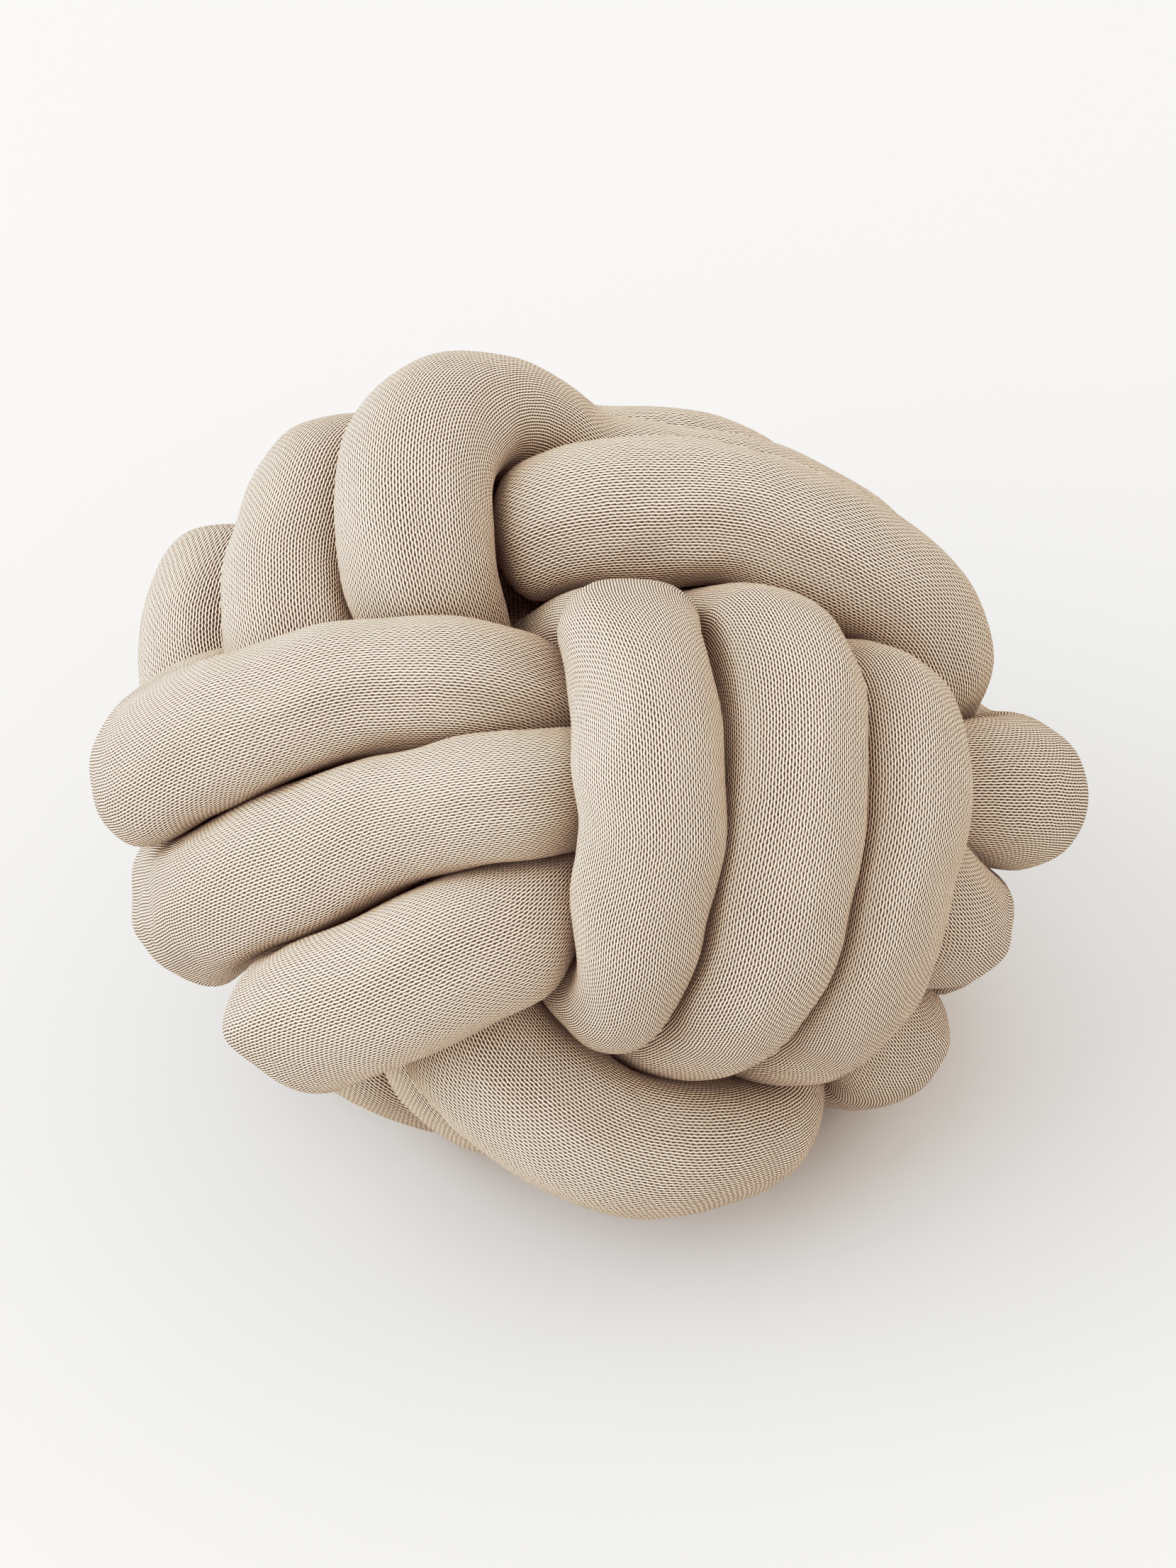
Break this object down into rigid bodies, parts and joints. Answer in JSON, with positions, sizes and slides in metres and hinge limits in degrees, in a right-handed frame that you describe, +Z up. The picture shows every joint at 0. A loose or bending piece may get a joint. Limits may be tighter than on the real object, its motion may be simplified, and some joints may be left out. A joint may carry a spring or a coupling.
{
  "type": "knot cushion",
  "caption": "Round knot cushion: a stuffed tube of beige stockinette knit, tied in a fist knot of bands that cross over and under each other.",
  "frame": {"origin": "centre of the cushion's bounding box at floor level", "axes": "+Z up; -Y towards the side where the three bands meet, which faces the front and up; +X to the right of that side, along the cushion's longest extent"},
  "size_m": [0.3052, 0.2634, 0.2579],
  "materials": {
    "knit": "matt stockinette knit with a faint fuzz"
  },
  "bodies": {
    "root": {"knotted_tube": "knit"}
  },
  "joints": []
}
